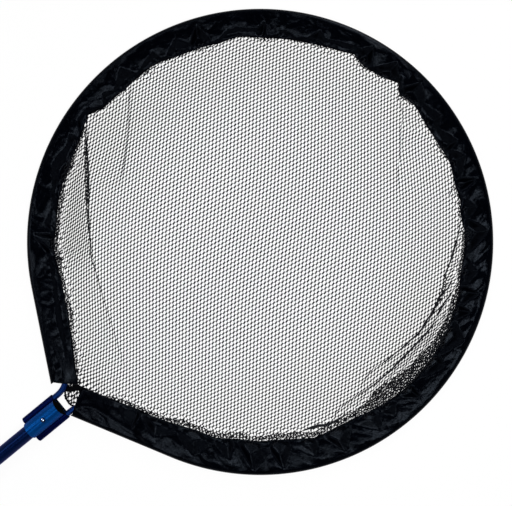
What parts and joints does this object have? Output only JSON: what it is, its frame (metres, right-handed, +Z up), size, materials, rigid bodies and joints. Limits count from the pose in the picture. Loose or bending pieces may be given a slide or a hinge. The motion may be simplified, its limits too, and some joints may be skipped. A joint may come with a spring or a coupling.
{
  "type": "koi net",
  "caption": "Round shallow koi net: a gathered cloth collar on a bent rod hoop, a knitted net, a clamp bracket with a snap button and a telescopic tube handle.",
  "frame": {"origin": "middle of the bracket's flat underside, on the plane that the net lies on", "axes": "+X along the handle towards the hoop, +Z up out of the hoop's plane"},
  "size_m": [1.3824, 0.611, 0.027],
  "materials": {
    "blue_coat": "blue coated aluminium, satin gloss",
    "black_nylon": "woven black nylon with a soft sheen",
    "black_yarn": "black knitted yarn",
    "black_plastic": "fine moulded texture",
    "black_foam": "matt closed foam",
    "bright_steel": "bright plated",
    "white_plastic": "plain white moulding"
  },
  "bodies": {
    "head": {"hoop": "blue_coat", "net_collar": "black_nylon", "net_mesh": "black_yarn", "throat_hem": "black_yarn", "bracket": "blue_coat", "front_tube": "blue_coat", "front_plug": "black_plastic", "button_spring": "bright_steel", "guide_bush": "white_plastic"},
    "button": {"snap_button": "bright_steel"},
    "rear_handle": {"rear_tube": "blue_coat", "collet": "white_plastic", "hand_grip": "black_foam", "end_cap": "black_plastic"},
    "nut": {"lock_nut": "black_plastic"}
  },
  "joints": [
    {"name": "button_press", "type": "slide", "parent": "head", "child": "button", "axis": [0, 0, -1], "range_m": [0, 0.0036], "stiffness_N_per_m": 3000, "springref_m": -0.002, "deforming": ["button_spring"]},
    {"name": "handle_extend", "type": "slide", "parent": "head", "child": "rear_handle", "axis": [-1, 0, 0], "range_m": [0, 0.46]},
    {"name": "lock_nut_turn", "type": "hinge", "parent": "rear_handle", "child": "nut", "pos_m": [-0.117, 0, 0.0135], "axis": [1, 0, 0], "range_deg": [0, 120]}
  ]
}
